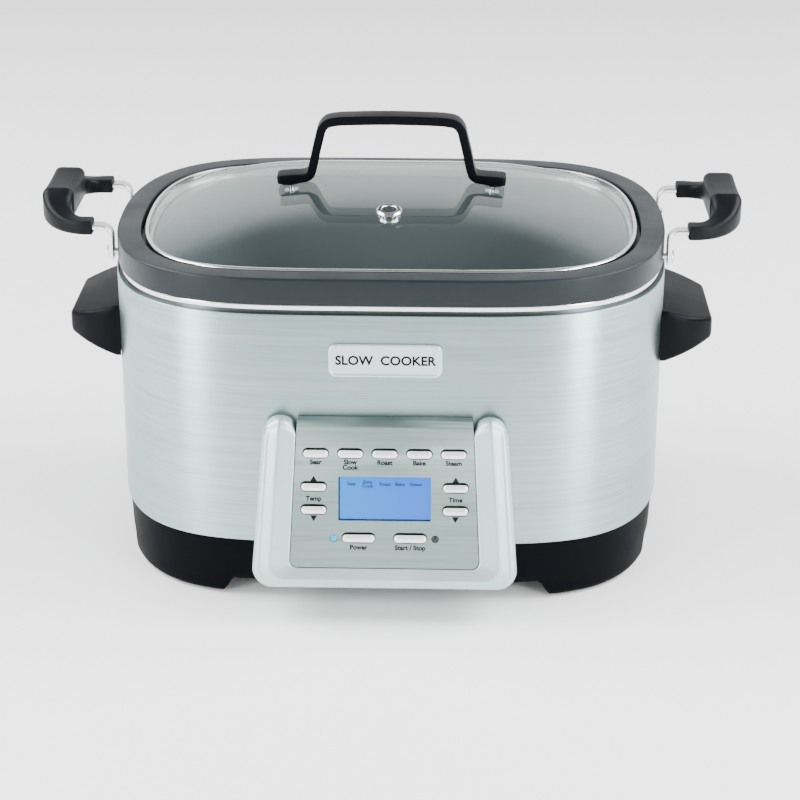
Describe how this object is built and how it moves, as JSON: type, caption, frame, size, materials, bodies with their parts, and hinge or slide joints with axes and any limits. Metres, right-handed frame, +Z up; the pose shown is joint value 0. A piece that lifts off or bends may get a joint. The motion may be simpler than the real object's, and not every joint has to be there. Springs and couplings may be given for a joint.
{
  "type": "slow cooker",
  "caption": "Oval countertop slow cooker: brushed steel heating base with a sloping push-button panel, lift-out pot with side grips and a domed glass lid.",
  "frame": {"origin": "centre of the overall box, on the surface that the feet stand on", "axes": "+X to the cooker's left-to-right width as seen from the front, +Y towards its back, +Z up; the control panel faces -Y"},
  "size_m": [0.4716, 0.3168, 0.298],
  "materials": {
    "brushed_steel": "satin, fine horizontal brushing",
    "polished_steel": "bright polished",
    "pot_coating": "satin charcoal non-stick coating over cast aluminium",
    "black_plastic": "fine-grained moulded plastic",
    "black_silicone": "matte soft-touch",
    "silver_plastic": "satin silver lacquer",
    "button_plastic": "pearl silver",
    "clear_glass": "clear tempered",
    "blue_screen": "lit display",
    "aluminium": "mill finish",
    "circuit_board": "solder mask",
    "led_blue": "lit lens",
    "led_dark": "unlit lens"
  },
  "bodies": {
    "housing": {"badge_plate": "silver_plastic", "base_screw_1": "aluminium", "base_screw_2": "aluminium", "base_screw_3": "aluminium", "base_screw_4": "aluminium", "base_tray": "black_plastic", "control_bezel": "silver_plastic", "control_board": "circuit_board", "cord_gland": "black_plastic", "display_module": "blue_screen", "display_window": "clear_glass", "face_plate": "brushed_steel", "foot_pad_1": "black_silicone", "foot_pad_2": "black_silicone", "foot_pad_3": "black_silicone", "foot_pad_4": "black_silicone", "heat_shield": "aluminium", "heater_plate": "aluminium", "heating_tube": "aluminium", "heating_well": "aluminium", "led_power": "led_blue", "led_start": "led_dark", "outer_shell": "brushed_steel", "power_board": "circuit_board", "probe_spring": "polished_steel", "side_handle_left": "black_plastic", "side_handle_right": "black_plastic", "top_collar": "brushed_steel", "trim_ring": "polished_steel"},
    "pot": {"pot_grip_left": "black_silicone", "pot_grip_right": "black_silicone", "pot_rivet_left_back": "polished_steel", "pot_rivet_left_front": "polished_steel", "pot_rivet_right_back": "polished_steel", "pot_rivet_right_front": "polished_steel", "pot_strap_left": "polished_steel", "pot_strap_right": "polished_steel", "cooking_pot": "pot_coating"},
    "lid": {"lid_glass": "clear_glass", "lid_band": "polished_steel", "lid_handle": "black_plastic", "lid_screw_left": "polished_steel", "lid_screw_right": "polished_steel", "handle_gasket_left": "black_silicone", "handle_gasket_right": "black_silicone", "steam_vent": "polished_steel"},
    "probe": {"temperature_probe": "aluminium"},
    "button_bake": {"button_bake": "button_plastic"},
    "button_power": {"button_power": "button_plastic"},
    "button_roast": {"button_roast": "button_plastic"},
    "button_sear": {"button_sear": "button_plastic"},
    "button_slow_cook": {"button_slow_cook": "button_plastic"},
    "button_start_stop": {"button_start_stop": "button_plastic"},
    "button_steam": {"button_steam": "button_plastic"},
    "button_temp_down": {"button_temp_down": "button_plastic"},
    "button_temp_up": {"button_temp_up": "button_plastic"},
    "button_time_down": {"button_time_down": "button_plastic"},
    "button_time_up": {"button_time_up": "button_plastic"}
  },
  "joints": [
    {"name": "pot_lift", "type": "slide", "parent": "housing", "child": "pot", "axis": [0, 0, 1], "range_m": [0, 0.13]},
    {"name": "lid_lift", "type": "slide", "parent": "pot", "child": "lid", "axis": [0, 0, 1], "range_m": [0, 0.09]},
    {"name": "probe_slide", "type": "slide", "parent": "housing", "child": "probe", "axis": [0, 0, 1], "range_m": [-0.003, 0], "stiffness_N_per_m": 300, "springref_m": 0.004, "deforming": ["probe_spring"]},
    {"name": "button_bake_press", "type": "slide", "parent": "housing", "child": "button_bake", "axis": [0, 0.9816, -0.1908], "range_m": [0, 0.0008], "stiffness_N_per_m": 500, "springref_m": -0.001},
    {"name": "button_power_press", "type": "slide", "parent": "housing", "child": "button_power", "axis": [0, 0.9816, -0.1908], "range_m": [0, 0.0008], "stiffness_N_per_m": 500, "springref_m": -0.001},
    {"name": "button_roast_press", "type": "slide", "parent": "housing", "child": "button_roast", "axis": [0, 0.9816, -0.1908], "range_m": [0, 0.0008], "stiffness_N_per_m": 500, "springref_m": -0.001},
    {"name": "button_sear_press", "type": "slide", "parent": "housing", "child": "button_sear", "axis": [0, 0.9816, -0.1908], "range_m": [0, 0.0008], "stiffness_N_per_m": 500, "springref_m": -0.001},
    {"name": "button_slow_cook_press", "type": "slide", "parent": "housing", "child": "button_slow_cook", "axis": [0, 0.9816, -0.1908], "range_m": [0, 0.0008], "stiffness_N_per_m": 500, "springref_m": -0.001},
    {"name": "button_start_stop_press", "type": "slide", "parent": "housing", "child": "button_start_stop", "axis": [0, 0.9816, -0.1908], "range_m": [0, 0.0008], "stiffness_N_per_m": 500, "springref_m": -0.001},
    {"name": "button_steam_press", "type": "slide", "parent": "housing", "child": "button_steam", "axis": [0, 0.9816, -0.1908], "range_m": [0, 0.0008], "stiffness_N_per_m": 500, "springref_m": -0.001},
    {"name": "button_temp_down_press", "type": "slide", "parent": "housing", "child": "button_temp_down", "axis": [0, 0.9816, -0.1908], "range_m": [0, 0.0008], "stiffness_N_per_m": 500, "springref_m": -0.001},
    {"name": "button_temp_up_press", "type": "slide", "parent": "housing", "child": "button_temp_up", "axis": [0, 0.9816, -0.1908], "range_m": [0, 0.0008], "stiffness_N_per_m": 500, "springref_m": -0.001},
    {"name": "button_time_down_press", "type": "slide", "parent": "housing", "child": "button_time_down", "axis": [0, 0.9816, -0.1908], "range_m": [0, 0.0008], "stiffness_N_per_m": 500, "springref_m": -0.001},
    {"name": "button_time_up_press", "type": "slide", "parent": "housing", "child": "button_time_up", "axis": [0, 0.9816, -0.1908], "range_m": [0, 0.0008], "stiffness_N_per_m": 500, "springref_m": -0.001}
  ]
}
